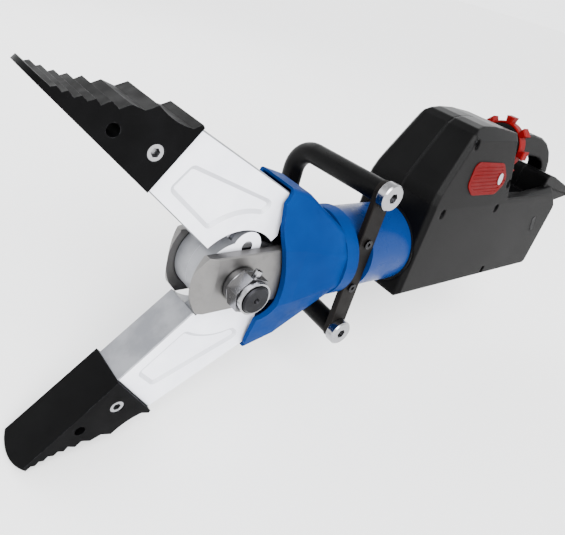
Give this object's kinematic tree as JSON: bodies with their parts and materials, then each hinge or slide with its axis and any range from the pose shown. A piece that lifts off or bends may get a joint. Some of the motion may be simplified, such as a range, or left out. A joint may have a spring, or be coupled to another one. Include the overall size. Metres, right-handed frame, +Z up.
{
  "type": "battery rescue spreader",
  "caption": "Battery-powered rescue spreader: two toothed tips on pivoting arms, ram-driven linkage in a flared yoke, side carrying handle and a rear handle with a star grip",
  "frame": {"origin": "centre of the housing's flat underside across the width, 462 mm behind the arms' pivot", "axes": "+X forward along the tool to the spreading tips, +Y to the operator's left, +Z up"},
  "size_m": [0.9333, 0.2035, 0.4136],
  "materials": {
    "tip_steel": "hardened steel, black finish, worn bright on the ridges",
    "arm_alloy": "forged alloy with a pale satin coat on the raised faces",
    "fork_alloy": "machined alloy, matt",
    "link_steel": "machined steel",
    "bright_steel": "bright plated steel",
    "dark_steel": "blackened steel",
    "nut_steel": "dark plated steel",
    "bronze": "bearing bronze",
    "yoke_blue": "blue anodised casting, satin",
    "cylinder_blue": "blue anodised tube, satin",
    "gland_alloy": "turned alloy",
    "seal_rubber": "soft seal",
    "tube_black": "black powder coat",
    "strap_dark": "dark coated clamp",
    "housing_black": "impact-proof moulding, black front, textured dark grey sides",
    "badge_red": "moulded red plate",
    "badge_silver": "small oval plate",
    "grip_red": "red over-moulded rim",
    "grip_black": "black moulding",
    "pump_alloy": "machined block",
    "tank_plastic": "oil bladder",
    "motor_steel": "drawn steel case",
    "core_steel": "laminated core with windings",
    "board_green": "circuit board",
    "chip_black": "moulded parts",
    "battery_black": "battery case",
    "cell_blue": "sleeved cells",
    "holder_grey": "cell holder"
  },
  "bodies": {
    "frame": {"cylinder_barrel": "cylinder_blue", "cylinder_gland": "gland_alloy", "rod_wiper": "seal_rubber", "pivot_fork": "fork_alloy", "yoke": "yoke_blue", "central_bolt": "dark_steel", "bolt_collar": "nut_steel", "bolt_nut": "nut_steel", "nut_lock_screw": "bright_steel", "bolt_end_ring": "bright_steel", "handle_tube": "tube_black", "handle_plugs": "dark_steel", "handle_screws": "bright_steel", "handle_strap": "strap_dark", "handle_strap_screws": "dark_steel", "rear_handle": "housing_black", "housing_left": "housing_black", "housing_right": "housing_black", "front_seal": "seal_rubber", "housing_screws": "dark_steel", "side_badges": "badge_red", "badge_studs": "badge_silver", "pump_block": "pump_alloy", "suction_pipe": "link_steel", "oil_reservoir": "tank_plastic", "valve_block": "pump_alloy", "motor_case": "motor_steel", "motor_stator": "core_steel", "control_board": "board_green", "board_chips": "chip_black", "battery_contacts": "bronze", "release_spring": "link_steel"},
    "upper_jaw": {"upper_arm": "arm_alloy", "upper_tip": "tip_steel", "upper_tip_screws": "bright_steel", "upper_arm_bush": "bronze", "upper_lever_pin": "bright_steel"},
    "lower_jaw": {"lower_arm": "arm_alloy", "lower_tip": "tip_steel", "lower_tip_screws": "bright_steel", "lower_arm_bush": "bronze", "lower_lever_pin": "bright_steel"},
    "ram": {"crosshead": "link_steel", "crosshead_pin": "bright_steel", "piston_rod": "bright_steel", "piston": "gland_alloy", "piston_seal": "seal_rubber"},
    "upper_link": {"upper_arm_link": "link_steel"},
    "lower_link": {"lower_arm_link": "link_steel"},
    "star_grip": {"star_grip_rim": "grip_red", "star_grip_hub": "grip_black", "star_grip_sleeve": "grip_black"},
    "battery": {"battery_case": "battery_black", "battery_end_cap": "battery_black", "battery_cells": "cell_blue", "cell_holders": "holder_grey"},
    "release_button": {"battery_release": "grip_black"},
    "rotor": {"motor_rotor": "core_steel", "motor_shaft": "bright_steel"}
  },
  "joints": [
    {"name": "upper_jaw_pivot", "type": "hinge", "parent": "frame", "child": "upper_jaw", "pos_m": [0.462, 0, 0.06], "axis": [0, 1, 0], "range_deg": [0, 42.4]},
    {"name": "lower_jaw_pivot", "type": "hinge", "parent": "frame", "child": "lower_jaw", "pos_m": [0.462, 0, 0.06], "axis": [0, -1, 0], "range_deg": [0, 42.4]},
    {"name": "ram_slide", "type": "slide", "parent": "frame", "child": "ram", "axis": [-1, 0, 0], "range_m": [0, 0.02794]},
    {"name": "upper_link_pivot", "type": "hinge", "parent": "ram", "child": "upper_link", "pos_m": [0.36996, 0, 0.06], "axis": [0, -1, 0], "range_deg": [0, 11.08]},
    {"name": "lower_link_pivot", "type": "hinge", "parent": "ram", "child": "lower_link", "pos_m": [0.36996, 0, 0.06], "axis": [0, 1, 0], "range_deg": [0, 11.08]},
    {"name": "star_grip_twist", "type": "hinge", "parent": "frame", "child": "star_grip", "pos_m": [-0.025, 0, 0.206], "axis": [1, 0, 0], "range_deg": [-15, 15], "stiffness_Nm_per_rad": 1.2},
    {"name": "battery_slide", "type": "slide", "parent": "frame", "child": "battery", "axis": [-1, 0, 0], "range_m": [0, 0.14]},
    {"name": "release_press", "type": "slide", "parent": "frame", "child": "release_button", "axis": [0, -1, 0], "range_m": [0, 0.003], "stiffness_N_per_m": 800},
    {"name": "motor_spin", "type": "hinge", "parent": "frame", "child": "rotor", "pos_m": [0.072, 0, 0.06], "axis": [1, 0, 0], "continuous": true}
  ],
  "couplings": [
    {"joint": "lower_jaw_pivot", "follows": "upper_jaw_pivot", "ratio": 1},
    {"joint": "ram_slide", "follows": "upper_jaw_pivot", "m_per_rad": 0.037711},
    {"joint": "upper_link_pivot", "follows": "upper_jaw_pivot", "ratio": 0.26076},
    {"joint": "lower_link_pivot", "follows": "upper_jaw_pivot", "ratio": 0.26076}
  ]
}
